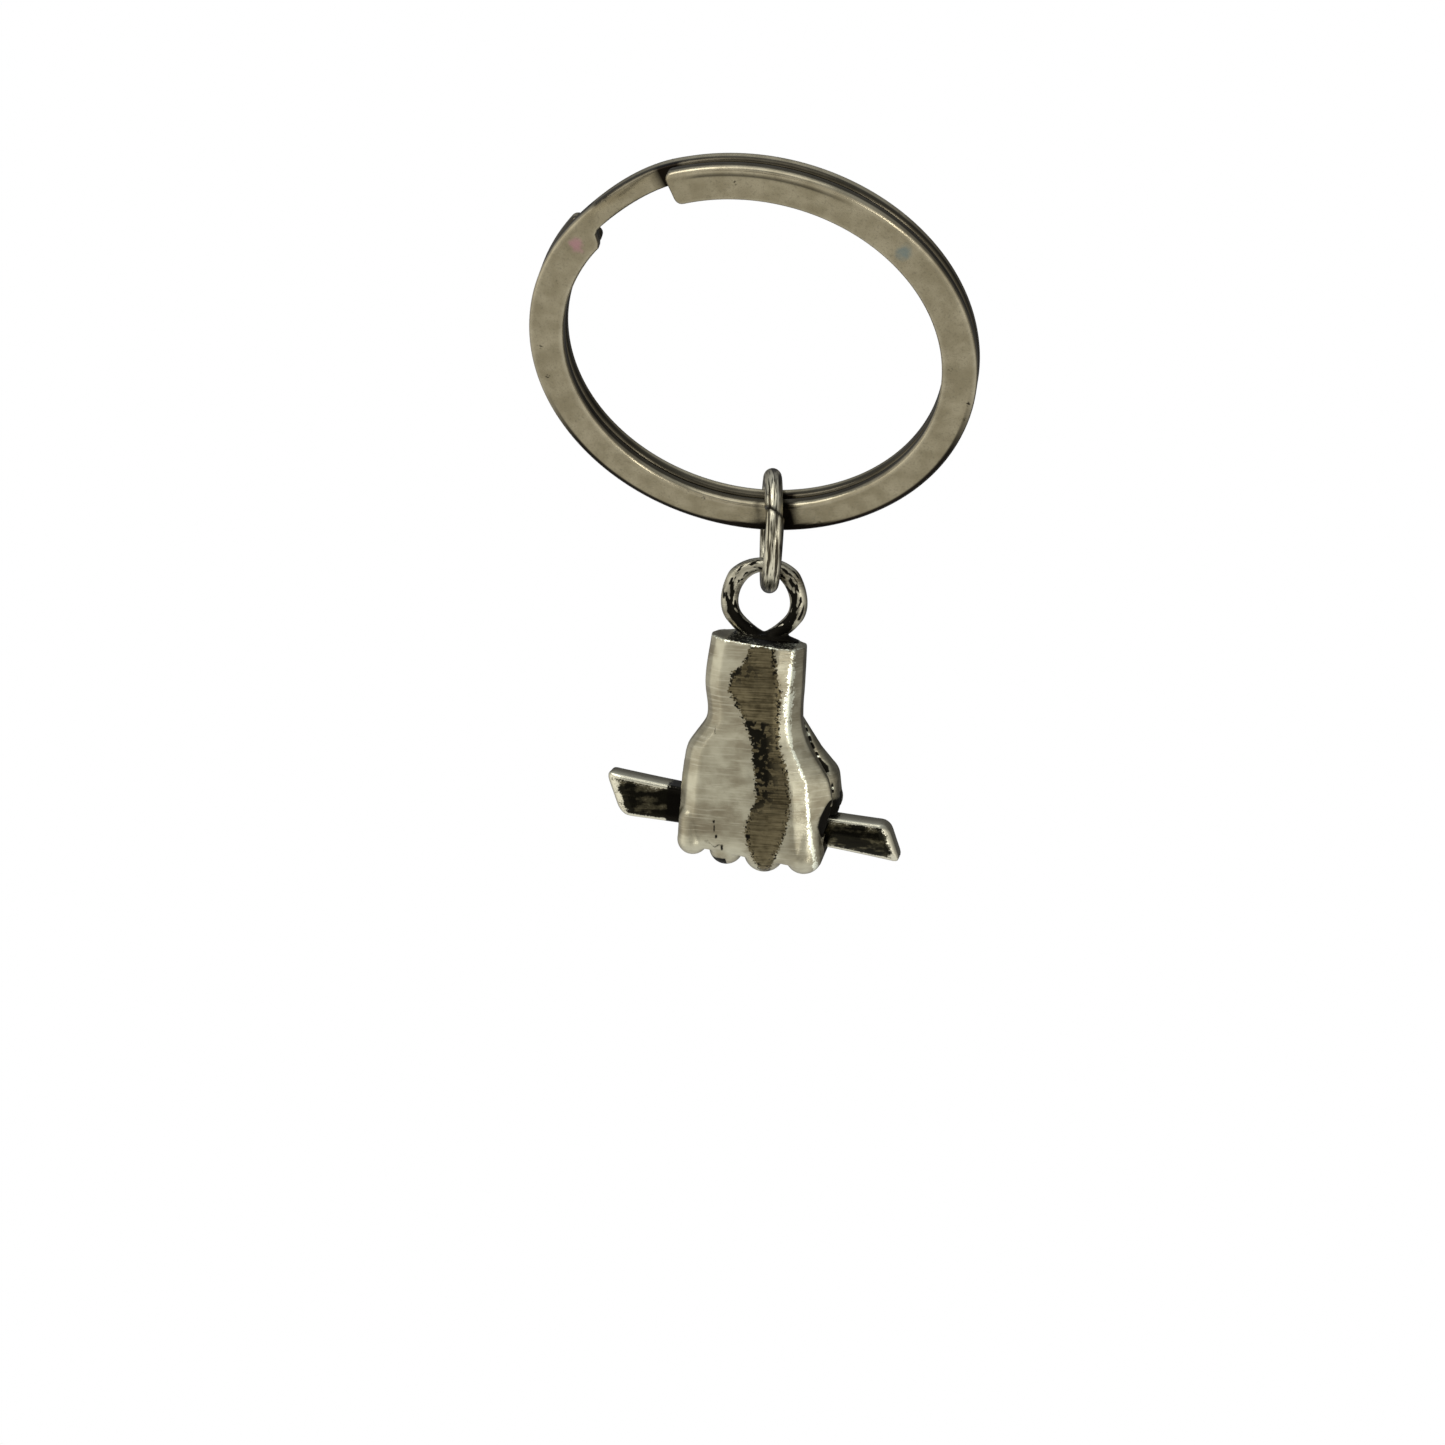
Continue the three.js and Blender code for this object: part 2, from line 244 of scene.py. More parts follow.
def rolled_nickel():
    """Satin nickel over a rolled strip: faint lines along it, cloudy patches and a few pits, edges
    made bright by wear and a painted highlight, and black painted shade and reflections.
    """
    finish, shader, start = metal("rolled_nickel")
    along = start.node("UVMap", {"uv_map": "strip"})
    place = start.node("TexCoord", {}, {}, "Object")
    clouds = solid_grain(start, (0.7, 0.7, 0.7), 4.0)
    speckle = solid_grain(start, (7, 7, 7), 2.0)
    lines = grain(start, along, (0.6, 26.0, 1.0), 2.0)
    pits = start.node(
        "TexVoronoi", {"feature": "F1"}, {"Vector": place, "Scale": 0.62 / MM}
    ).between(0.16, 0.05)
    dull = (0.228, 0.194, 0.121, 1)
    satin = (0.325, 0.283, 0.188, 1)
    worn = blend(start, dull, satin, clouds.between(0.3, 0.75))
    fine = blend(start, worn, (0.13, 0.115, 0.08, 1), speckle.between(0.5, 0.75) * 0.4)
    pitted = blend(start, fine, (0.03, 0.025, 0.015, 1), pits * speckle.between(0.45, 0.6))
    # The rims are brightened as wear and as a painted highlight.
    worn_and_highlit = blend(start, pitted, (0.5, 0.45, 0.33, 1), stored(start, "rim_wear_and_highlight") * (clouds + 0.1) * 0.7)
    tarnish = stored(start, "tarnish") + (clouds - 0.5) * 1.6
    pink = blend(start, worn_and_highlit, (0.4, 0.17, 0.22, 1), tarnish.between(0.35, 0.9) * 0.55)
    blue = blend(start, pink, (0.12, 0.17, 0.17, 1), (tarnish * -1.0).between(0.35, 0.9) * 0.7)
    # Black painted shade and dark reflections, from the stored shade.
    connect(shader, "Base Color", blend(start, blue, SHADE_BLACK, stored(start, "shade")))
    connect(shader, "Roughness", 0.15 + clouds * 0.12 + lines * 0.06)
    height = lines * 0.6 + speckle * 0.4 - pits
    connect(shader, "Normal", bumped(start, height, 0.008))
    return finish


def ring_size_and_lean():
    """The split ring's outer radius, and how far its top leans forward."""
    low, high = mm_box("split_ring")
    face = next(
        mount for mount in frame["record"]["mounts"] if mount["kind"] == "flat_face"
    )
    return (high.x - low.x) / 2, math.atan2(-face["axis"][2], -face["axis"][1])


def mark_strip(strip, length, sweep, middle):
    """Stores the straight strip's bright edges, its painted shade and dark reflections, and its
    tarnished spots.
    """
    rim_wear_and_highlight = strip.verts.layers.float.new("rim_wear_and_highlight")
    shade = strip.verts.layers.float.new("shade")
    tarnish = strip.verts.layers.float.new("tarnish")
    for vert in strip.verts:
        x, y, z = vert.co
        travelled = (x / length + 0.5) * sweep
        vert[rim_wear_and_highlight] = smooth_step(STRIP_FLAT, STRIP_FLAT + 0.3, abs(z))
        # Painted shade darkens the strip's back end, and the rims beside the gap between the turns.
        vert[shade] = 0.8 * smooth_step(sweep - 1.2, sweep - 0.4, travelled)
        beside_gap = y > 0 if travelled < FRONT_TURN + 8 else y < 0
        if beside_gap:
            vert[shade] = max(vert[shade], 0.85 * vert[rim_wear_and_highlight])
        if y < 0:
            # The back turn is in shade where it starts, behind the front turn's end.
            starts = smooth_step(355.6, 357.6, travelled) * (1 - smooth_step(363, 368, travelled))
            # A painted dark reflection follows the outer edge for a while from the front end.
            drawn = smooth_step(3, 9, travelled) * (1 - smooth_step(36, 52, travelled))
            under = math.exp(-(((z - STRIP_FLAT + 0.08) / 0.1) ** 2))
            # Painted shade and dark reflection make the ring's underside black, most of all beside
            # the jump ring, where the jump ring's painted shadow falls.
            heading = radians(CROSSOVER_AT - CROSSOVER_SPAN / 2 - travelled)
            lower = smooth_step(0.1, 0.5, -sin(heading))
            right = middle * cos(heading)
            inner = STRIP_FLAT - 0.42 * math.exp(-((right / 3) ** 2))
            lip = lower * smooth_step(inner - 0.14, inner + 0.02, z)
            touched = 1.15 * (1 - smooth_step(0.35, 0.95, abs(right - SHADOW_RIGHT)))
            touched += 0.5 * math.exp(-(((right - SHADOW_LEFT) / 0.25) ** 2))
            touched = min(1, touched * lower * (0.9 + 0.3 * abs(z) / STRIP_FLAT))
            vert[shade] = max(vert[shade], starts, 0.85 * drawn * under, lip, touched)
            for at, sign in TARNISHED:
                along, across = TARNISH_SPREAD
                near = ((travelled - at) / along) ** 2 + ((z - 0.1) / across) ** 2
                vert[tarnish] += sign * math.exp(-near)
        if z < -STRIP_FLAT:
            # A fine line runs along the middle of the inner edge.
            vert[shade] = max(vert[shade], 0.75 * math.exp(-((y / 0.07) ** 2)))


def split_ring():
    outer, lean = ring_size_and_lean()
    middle = outer - STRIP_WIDTH / 2
    place = Matrix.Rotation(lean, 4, "X") @ Matrix.Translation((0, 0, STRIP_WIDTH - outer))
    sweep = 720 - CROSSOVER_SPAN
    length = radians(sweep) * middle

    # The straight strip: along X, its thickness on Y, its width on Z.
    strip = bmesh.new()
    bmesh.ops.create_cube(strip, size=1)
    bmesh.ops.scale(strip, vec=(length, STRIP_THICKNESS, STRIP_WIDTH), verts=strip.verts)
    round_off(strip, edges_on_y(strip, True), STRIP_END_CORNER, 5)
    round_off(strip, edges_on_y(strip, False), STRIP_EDGE, 4)
    flat = STRIP_FLAT
    score_across(
        strip, Vector((0, 0, 1)),
        (-flat, -flat / 2, 0, flat / 2, flat - 0.24, flat - 0.12, flat),
    )
    score_across(strip, Vector((0, 1, 0)), (-0.12, 0, 0.12))
    runs = [e for e in strip.edges if e.calc_length() > length / 2]
    bmesh.ops.subdivide_edges(strip, edges=runs, cuts=STRIP_CUTS, use_grid_fill=True)
    mark_strip(strip, length, sweep, middle)

    # Where each point lies along and round the strip, for the lines in its finish.
    layer = strip.loops.layers.uv.new("strip")
    for face in strip.faces:
        for loop in face.loops:
            x, y, z = loop.vert.co
            loop[layer].uv = (x, z + (y if z > 0 else -y))

    def coiled(p):
        travelled = (p.x / length + 0.5) * sweep
        angle = radians(CROSSOVER_AT - CROSSOVER_SPAN / 2 - travelled)
        crossed = smooth_step(FRONT_TURN, 360.8, travelled)
        pinched = smooth_step(FRONT_TURN - 1, FRONT_TURN + 3, travelled)
        pinched *= 1 - smooth_step(361, 367, travelled)
        across = 2 * p.z / STRIP_WIDTH
        radius = middle + p.z + CROSSOVER_PINCH * pinched * (1 - across) / 2
        swell = CROSSOVER_BULGE * crossed * (1 - crossed) * (1 - across * across)
        bulge = math.copysign(swell, p.y)
        depth = p.y + bulge + (crossed - 0.5) * (STRIP_THICKNESS + TURN_GAP)
        return Vector((radius * cos(angle), depth, radius * sin(angle)))

    move_each(strip, coiled)
    bmesh.ops.transform(strip, matrix=place, verts=strip.verts)
    return finished(
        "split_ring_coil", strip, rolled_nickel(), "split_ring", ["split_ring"]
    )


split_ring()


# ---- Jump ring ---------------------------------------------------------------
# One turn of drawn steel wire, nickel plated, closed with pliers. Its two cut ends meet a little
# out of line at the front, and the die's lines run along the wire.

LINK_WIRE = 1.28
LINK_BROKEN_EDGE = 0.07  # on its cut ends
LINK_SEAM = 27  # degrees above the front of the ring
LINK_SEAM_GAP = 0.08
LINK_SEAM_OFFSET = 0.12  # sideways, between the two ends
LINK_BULGE = 0.04  # how far both ends lean to the right
LINK_SEAM_SLANT = 0.55  # how far out of square the cut ends are
LINK_LEAN = 2.2  # degrees that its lower end swings to the left
LINK_SAG = 0.11  # how far its lowest part is drawn down, clear of the eye
LINK_CUTS = 120  # along the wire, so that it bends smoothly


def drawn_nickel():
    """Bright nickel over drawn wire: long lines and scratches along it, and black painted shade."""
    finish, shader, start = metal("drawn_nickel")
    along = start.node("UVMap", {"uv_map": "wire"})
    lines = grain(start, along, (0.3, 3.6, 1.0), 4.0)
    scratches = grain(start, along, (0.9, 9.0, 1.0), 2.0)
    clouds = solid_grain(start, (0.9, 0.9, 0.9), 3.0)
    bright = blend(start, (0.05, 0.042, 0.027, 1), (0.64, 0.6, 0.46, 1), lines.between(0.42, 0.56))
    scored = blend(start, bright, (0.01, 0.008, 0.005, 1), scratches.between(0.55, 0.65) * 0.9)
    connect(shader, "Base Color", blend(start, scored, SHADE_BLACK, stored(start, "shade") * 0.9))
    connect(shader, "Roughness", 0.2 + clouds * 0.12 + lines * 0.08)
    connect(shader, "Normal", bumped(start, lines + scratches * 0.5, 0.05))
    return finish


def jump_ring():
    joint = next(j for j in frame["joints"] if j["name"] == "jump_ring_swing")
    centre = Vector(joint["pos_m"]) / MM
    axis = Vector(joint["axis"])
    low, high = mm_box("jump_ring")
    radius = (high.z - low.z) / 2 - LINK_WIRE / 2
    length = 2 * pi * radius - LINK_SEAM_GAP

    # The straight wire, along Z, with its cut ends' edges broken.
    wire = bmesh.new()
    bmesh.ops.create_cone(
        wire, cap_ends=True, segments=32, radius1=LINK_WIRE / 2, radius2=LINK_WIRE / 2, depth=length
    )
    rims = [e for e in wire.edges if e.calc_length() < length / 2]
    round_off(wire, rims, LINK_BROKEN_EDGE, 2)
    runs = [e for e in wire.edges if e.calc_length() > length / 2]
    bmesh.ops.subdivide_edges(wire, edges=runs, cuts=LINK_CUTS, use_grid_fill=True)
    layer = wire.loops.layers.uv.new("wire")
    for face in wire.faces:
        turn = math.atan2(face.calc_center_median().y, face.calc_center_median().x)
        for loop in face.loops:
            x, y, z = loop.vert.co
            own = math.atan2(y, x)
            if own - turn > pi:
                own -= 2 * pi
            if turn - own > pi:
                own += 2 * pi
            loop[layer].uv = (z, own * LINK_WIRE / 2)

    # Painted shade and dark reflection on its cut ends, under its lowest part and down the right of
    # its front.
    shade = wire.verts.layers.float.new("shade")
    for vert in wire.verts:
        outward = vert.co.x / LINK_WIRE
        rightward = vert.co.y / LINK_WIRE
        cut = smooth_step(length / 2 - 0.2, length / 2 - 0.05, abs(vert.co.z))
        from_lowest = LINK_SEAM + 90 - (vert.co.z / length + 0.5) * 360
        under = 1 - smooth_step(13, 26, abs((from_lowest + 180) % 360 - 180))
        under *= smooth_step(0.0, 0.25, outward)
        beside = 0.85 * (1 - smooth_step(14, 32, abs(from_lowest - 90)))
        beside *= smooth_step(0.15, 0.4, rightward)
        vert[shade] = max(cut, under, beside)

    def bent(p):
        t = p.z / length
        near_seam = 1 - smooth_step(0, 0.2, 0.5 - abs(t))
        slant = LINK_SEAM_SLANT * p.y * (1 - smooth_step(0, 0.08, 0.5 - abs(t)))
        angle = radians(LINK_SEAM) - (t + 0.5) * (length / radius) - slant / radius
        reach = radius + p.x + LINK_SAG * max(0, -sin(angle)) ** 8
        sideways = p.y - LINK_SEAM_OFFSET * t + LINK_BULGE * near_seam
        return Vector((sideways, -reach * cos(angle), reach * sin(angle)))

    move_each(wire, bent)
    leaning = Matrix.Rotation(radians(LINK_LEAN), 4, "Y")
    turned = Matrix.Rotation(math.atan2(axis.y, axis.x), 4, "Z") @ leaning
    bmesh.ops.transform(wire, matrix=Matrix.Translation(centre) @ turned, verts=wire.verts)
    return finished(
        "jump_ring_wire", wire, drawn_nickel(), "jump_ring", ["jump_ring"]
    )


jump_ring()


# ---- Hanging eye -------------------------------------------------------------
# A closed ring of wire soldered on the wrist's end, with its foot spread in a fillet. Antiqued
# pewter plating: bright where hands rub it, black where the plater's wash stays in the hollows.

EYE_WIRE = 1.28
EYE_FOOT = (5.4, 1.9, 0.36)  # its foot's width, depth and height
EYE_FOOT_RISE = 0.06  # from the eye's lowest point up to where the foot starts
EYE_POINT = 0.75  # how far the hole is drawn down to a point
EYE_DROP = 0.3  # how much lower its middle lies than a round ring's
EYE_VOXEL = 0.07
# The plater's black is also used for painted shade.
WASH_AND_SHADE = (0.009, 0.008, 0.006, 1)  # the plater's black


def cast_from(shape, voxel, softening):
    """Melts overlapping closed shapes into one skin, as a casting is, and softens its edges."""
    mesh = bpy.data.meshes.new("melt")
    shape.to_mesh(mesh)
    shape.free()
    blank = bpy.data.objects.new("melt", mesh)
    bpy.context.scene.collection.objects.link(blank)
    melt = blank.modifiers.new("melt", "REMESH")
    melt.mode = "VOXEL"
    melt.voxel_size = voxel
    view = bpy.context.evaluated_depsgraph_get()
    skin = bmesh.new()
    skin.from_mesh(blank.evaluated_get(view).to_mesh())
    bpy.data.objects.remove(blank)
    bpy.data.meshes.remove(mesh)
    soften(skin, softening)
    return skin


def soften(shape, rounds):
    """Relaxes a shape's vertices towards their neighbours."""
    for _ in range(rounds):
        bmesh.ops.smooth_vert(
            shape, verts=shape.verts, factor=0.5, use_axis_x=True, use_axis_y=True, use_axis_z=True
        )


def mark_hollows(shape, rounds, reach):
    """Stores how far each point lies below the softened shape around it, or above it if under 0."""
    layer = shape.verts.layers.float.new("hollow_and_darkening")
    stain = shape.verts.layers.float.new("stain")
    soft = shape.copy()
    soften(soft, rounds)
    shape.normal_update()
    for vert, there in zip(shape.verts, soft.verts):
        vert[layer] = (there.co - vert.co).dot(vert.normal) / reach
        vert[stain] = -1
    soft.free()


def limb(shape, start, end, first, last):
    """A round-ended limb that tapers from one radius to another."""
    start = Vector(start)
    end = Vector(end)
    turn = (end - start).to_track_quat("Z", "Y").to_matrix()
    ball = bmesh.ops.create_uvsphere(shape, u_segments=32, v_segments=16, radius=1)
    for vert in ball["verts"]:
        if vert.co.z > 0:
            vert.co = end + turn @ vert.co * last
        else:
            vert.co = start + turn @ vert.co * first


def antiqued_pewter(name, dull, pale):
    """Brushed pewter plating with black wash in its hollows, painted shade where it is stored,
    bright rubbed edges and a painted glint.
    """
    finish, shader, start = metal(name)
    hollow_and_darkening = stored(start, "hollow_and_darkening")
    clouds = solid_grain(start, (0.55, 0.55, 0.75), 3.0)
    speckle = solid_grain(start, (6, 6, 6), 2.0)
    brushed = solid_grain(start, (0.45, 0.45, 9), 3.0)
    fine = solid_grain(start, (1.2, 1.2, 24), 2.0)
    base = blend(start, dull, pale, clouds.between(0.3, 0.7))
    smudge = solid_grain(start, (0.32, 0.32, 0.5), 5.0).between(0.5, 0.64)
    base = blend(start, base, (0.17, 0.138, 0.085, 1), smudge * 0.5)
    lined = blend(start, base, (0.56, 0.53, 0.41, 1), brushed.between(0.5, 0.72) * 0.45)

    # The stain: a ragged edge with black flecks on it, brown inside, burnt black in places.
    stain = stored(start, "stain")
    black = stored(start, "black")
    edge = stain + (speckle - 0.5) * 0.8 + (brushed - 0.5) * 0.4
    covered = edge.between(-0.16, -0.02)
    blotch = solid_grain(start, (2.1, 2.1, 2.4), 6.0)
    flecks = (1 - stain.between(0.1, 0.45)) * speckle.between(0.48, 0.56)
    flecks = flecks * blotch.between(0.44, 0.52)
    burnt = black.between(0, 0.7) * (blotch + black * 0.15).between(0.52, 0.6)
    grime = brushed * 0.45 + clouds * 0.25 + blotch * 0.3
    deep = (0.055, 0.044, 0.023, 1)
    brown = blend(start, deep, (0.19, 0.158, 0.09, 1), grime.between(0.36, 0.62))
    burnt_black = (0.011, 0.01, 0.007, 1)
    brown = blend(start, brown, burnt_black, start.math("MAXIMUM", flecks, burnt))
    stained = blend(start, lined, brown, covered)

    # Wash in the hollows along with painted shade, bright worn metal on the edges, and a painted
    # glint on the ridge.
    darkened = (hollow_and_darkening + (speckle - 0.5) * 0.35).between(0.12, 0.6)
    dark = blend(start, stained, WASH_AND_SHADE, darkened)
    painted_glint = stored(start, "painted_glint")
    # The glint is a painted highlight.
    glint = (painted_glint + (speckle - 0.5) * 3.4 + (clouds - 0.5) * 2.2).between(0.4, 0.8)
    glint = glint * painted_glint.between(0, 0.3)
    edges = (hollow_and_darkening * -1.0).between(0.3, 0.9) * 0.4
    worn_and_highlit = start.math("MAXIMUM", edges, glint)
    connect(shader, "Base Color", blend(start, dark, (0.93, 0.95, 0.78, 1), worn_and_highlit))
    connect(shader, "Roughness", 0.23 + brushed * 0.12 + fine * 0.08 + darkened * 0.2 - worn_and_highlit * 0.1)
    height = brushed * 0.6 + fine * 0.5 + speckle * 0.25
    connect(shader, "Normal", bumped(start, height, 0.02))
    return finish


def eye_pull(p, middle):
    """Draws the lowest part of the eye down to a point, as its wire was squeezed at the joint."""
    near = smooth_step(0.3, 0.95, -p.z / middle) * max(0, 1 - abs(p.x) / 1.5)
    inner = middle - EYE_WIRE / 2
    z = p.z - EYE_DROP * max(0, 1 - (p.z / inner) ** 2) - EYE_POINT * near
    if z > inner:
        z = inner + (z - inner) * 0.82
    return Vector((p.x - 0.1, p.y, max(z, -middle - 0.6)))


def hanging_eye():
    joint = next(j for j in frame["joints"] if j["name"] == "charm_swing")
    centre = Vector(joint["pos_m"]) / MM
    low, high = mm_box("hanging_eye")
    middle = (high.x - low.x) / 2 - EYE_WIRE / 2
    slope = (mm_box("fist")[1].z - low.z) / (high.x - low.x)

    shape = bmesh.new()
    section = bmesh.ops.create_circle(shape, segments=24, radius=EYE_WIRE / 2)
    bmesh.ops.translate(shape, verts=section["verts"], vec=(middle, 0, 0))
    bmesh.ops.spin(
        shape, geom=shape.verts[:] + shape.edges[:], cent=(0, 0, 0), axis=(0, 1, 0),
        angle=2 * pi, steps=72, use_merge=True,
    )
    bmesh.ops.remove_doubles(shape, verts=shape.verts, dist=0.001)
    bmesh.ops.recalc_face_normals(shape, faces=shape.faces)
    move_each(shape, lambda p: eye_pull(p, middle))
    bmesh.ops.translate(shape, verts=shape.verts, vec=centre)
    foot = bmesh.ops.create_cone(
        shape, cap_ends=True, segments=48, radius1=1, radius2=0.62, depth=1
    )
    for vert in foot["verts"]:
        x = vert.co.x * EYE_FOOT[0] / 2
        y = vert.co.y * EYE_FOOT[1] / 2
        z = low.z + EYE_FOOT_RISE + (vert.co.z + 0.5) * EYE_FOOT[2]
        z += slope * (EYE_FOOT[0] / 2 - x) * 0.5
        vert.co = Vector((centre.x + x, centre.y + y, z))
    skin = cast_from(shape, EYE_VOXEL, 5)
    mark_hollows(skin, 14, 0.11)

    # Long dark streaks round the ring, most of them low on its front and inner side, and darker
    # towards its foot.
    hollow_and_darkening = skin.verts.layers.float["hollow_and_darkening"]
    for vert in skin.verts:
        low_down = 1 - smooth_step(low.z + 0.35, low.z + 0.9, vert.co.z)
        out = vert.co - centre
        heading = math.atan2(out.x, out.z)
        turned = math.atan2(-out.y, math.hypot(out.x, out.z) - middle)
        side = 5 if out.x > 0 else 0
        streak = noise.noise(Vector((3.1 * abs(heading) + side, 2.6 * turned, 0.3)))
        fine = noise.noise(Vector((9 * heading, 6 * turned, 2)))
        fall = smooth_step(0.35, 2.3, abs(heading))
        inward = math.exp(-(((turned - 1.75) / 0.75) ** 2))
        darkened = inward * (0.35 + 0.75 * fall) + 0.9 * streak + 0.35 * fine - 0.28
        vert[hollow_and_darkening] = max(vert[hollow_and_darkening], 0.75 * low_down, smooth_step(0.05, 0.45, darkened))
    return finished(
        "eye_ring", skin,
        antiqued_pewter("eye_pewter", (0.2, 0.184, 0.138, 1), (0.5, 0.47, 0.36, 1)),
        "charm", ["hanging_eye"],
    )


hanging_eye()


# ---- Grip bar ----------------------------------------------------------------
# A short polished bar, cast and plated, with a bevel round its faces and both ends cut on the
# slant. It gets taller towards its ends, and runs down to the right through the fist.

BAR_HEIGHT = 2.6
BAR_DEPTH = 2.1
BAR_LENGTH = 21.2
BAR_SLOPE = 7  # degrees, down to the right
BAR_CUT = 26  # degrees that its ends are out of square
BAR_FLARE = 0.28  # extra half height at each end
BAR_DROP = 0.2  # how far it sits below the middle of its tunnel
BAR_TOP_FALL = 0.3  # how far the right half's top is worn down
BAR_FILED = 0.4  # how far the front is filed back at each end
BAR_BEVEL = 0.3
BAR_CORNER = 0.6
# Where the bar goes into the fist, from the bar's middle, and how far the painted shade spreads
# there.
BAR_MOUTHS = [(-5.75, 0.75), (4.75, 0.6)]


def mark_bar(bar):
    """Stores the straight bar's bright edges, worn and with a painted highlight over its top and
    ends, and painted shade beside the fist.
    """
    rim_wear_and_highlight = bar.verts.layers.float.new("rim_wear_and_highlight")
    shade = bar.verts.layers.float.new("shade")
    half = Vector((BAR_LENGTH, BAR_DEPTH, BAR_HEIGHT)) / 2
    for vert in bar.verts:
        x, y, z = vert.co
        past_x = abs(x) - half.x + BAR_CORNER
        past_z = abs(z) - half.z + BAR_CORNER
        inside = BAR_CORNER - math.hypot(max(past_x, 0), max(past_z, 0))
        inside -= min(max(past_x, past_z), 0)
        ends = smooth_step(half.x - 0.7, half.x - 0.4, x)
        ends += smooth_step(half.x - 0.9, half.x - 0.6, -x)
        on_edge = 1 - 0.5 * smooth_step(0.2, 0.5, half.y - abs(y))
        vert[rim_wear_and_highlight] = max(on_edge * (1 - smooth_step(0.16, 0.36, inside)), 0.7 * ends)
        across = x - z * math.tan(radians(BAR_CUT))
        mouth = min(abs(across - place) / reach for place, reach in BAR_MOUTHS)
        vert[shade] = 1 - smooth_step(0.6, 1.1, mouth)


def bar_shape(grow):
    """The bar, or a blank that is larger all round, to cut its tunnel with."""
    low, high = mm_box("grip_bar")
    centre = (low + high) / 2 - Vector((0, 0, BAR_DROP))
    bar = bmesh.new()
    bmesh.ops.create_cube(bar, size=1)
    size = (BAR_LENGTH + grow, BAR_DEPTH + 2 * grow, BAR_HEIGHT + 2 * grow)
    bmesh.ops.scale(bar, vec=size, verts=bar.verts)
    round_off(bar, edges_on_y(bar, True), BAR_CORNER, 5)
    round_off(bar, edges_on_y(bar, False), BAR_BEVEL, 3)
    score_across(bar, Vector((0, 0, 1)), (-0.7, -0.25, 0.15, 0.55))
    runs = [e for e in bar.edges if e.calc_length() > BAR_LENGTH / 2]
    bmesh.ops.subdivide_edges(bar, edges=runs, cuts=60, use_grid_fill=True)
    mark_bar(bar)

    def flared(p):
        along = 2 * p.x / BAR_LENGTH
        z = p.z * (1 + 2 * BAR_FLARE / BAR_HEIGHT * along * along)
        if z > 0:
            z *= 1 - BAR_TOP_FALL / (BAR_HEIGHT / 2) * smooth_step(1.5, 4, p.x)
        # The front is filed back along the lower right half and towards both ends.
        back = 0.55 * smooth_step(1.5, 3.5, p.x) * max(0, -0.35 - p.z) * (p.y < 0)
        ends = max(0, 1 - (BAR_LENGTH / 2 + p.x) / 1.0, 1 - (BAR_LENGTH / 2 - p.x) / 0.7)
        back = max(back, BAR_FILED * ends * (p.y < 0))
        return Vector((p.x - z * math.tan(radians(BAR_CUT)), p.y + back, z))

    move_each(bar, flared)
    turn = Matrix.Translation(centre) @ Matrix.Rotation(radians(BAR_SLOPE), 4, "Y")
    bmesh.ops.transform(bar, matrix=turn, verts=bar.verts)
    return bar


def dark_polish():
    """Polished plating with black wash left in its scratches, bright bevels that are worn and carry
    a painted highlight, and painted shade beside the fist.
    """
    finish, shader, start = metal("dark_polish")
    clouds = solid_grain(start, (0.8, 0.8, 1.4), 4.0)
    streaks = solid_grain(start, (0.5, 2, 7), 3.0)
    speckle = solid_grain(start, (8, 8, 8), 2.0)
    dark = (0.013, 0.012, 0.008, 1)
    base = blend(start, dark, (0.12, 0.106, 0.062, 1), clouds.between(0.5, 0.68))
    lined = blend(start, base, (0.01, 0.009, 0.007, 1), streaks.between(0.52, 0.68) * 0.8)
    # The bevels are bright from wear and from a painted highlight.
    worn = stored(start, "rim_wear_and_highlight") + (speckle - 0.5) * 1.1 + (clouds - 0.5) * 1.3
    bright = blend(start, lined, (0.62, 0.59, 0.46, 1), worn.between(0.3, 0.75))
    # Painted shade where the bar goes into the fist.
    shaded_at_fist = (stored(start, "shade") + (speckle - 0.5) * 1.6).between(0.35, 0.7)
    connect(shader, "Base Color", blend(start, bright, WASH_AND_SHADE, shaded_at_fist))
    connect(shader, "Roughness", 0.14 + clouds * 0.08 + speckle * 0.06)
    connect(shader, "Normal", bumped(start, streaks * 0.5 + speckle * 0.5, 0.01))
    return finish


def grip_bar():
    return finished(
        "grip_bar_casting", bar_shape(0), dark_polish(), "charm", ["grip_bar"]
    )


grip_bar()


# ---- Fist --------------------------------------------------------------------
# Wrist, back of the hand, four fingers curled round the bar and a thumb folded over them, one
# casting. The back of the hand is linished in flats with a crisp ridge down its thumb side.

FIST_VOXEL = 0.1
TUNNEL_PLAY = 0.12  # all round the bar
# Down the hand: how far below the wrist's end, then the left side, the right side, the ridge
# between the back of the hand and its thumb side, the front, and the palm side.
HAND_SECTIONS = [
    (0.0, -4.25, 2.62, 2.05, 11.68, 15.9),
    (3.3, -4.72, 2.5, 1.78, 11.52, 16.0),
    (6.1, -4.6, 2.4, 1.6, 11.72, 15.8),
    (7.3, -5.35, 2.68, 1.68, 11.65, 15.6),
    (8.2, -5.95, 3.08, 1.95, 11.55, 15.3),
    (9.5, -6.22, 3.9, 2.55, 11.5, 14.9),
    (10.6, -6.36, 4.5, 3.0, 11.5, 14.6),
    (12.5, -6.5, 4.72, 3.2, 11.5, 14.5),
    (14.2, -6.6, 4.12, 3.38, 11.5, 14.4),
    (15.2, -6.55, 4.0, 3.55, 11.52, 14.4),
    (15.85, -6.3, 3.9, 3.65, 11.85, 14.4),
]
HAND_ROWS = 48  # sections that it is lofted through
WRIST_SLOPE = 0.115  # its end runs down to the right
KNUCKLE_SLOPE = 0.13  # and so does the row of knuckles
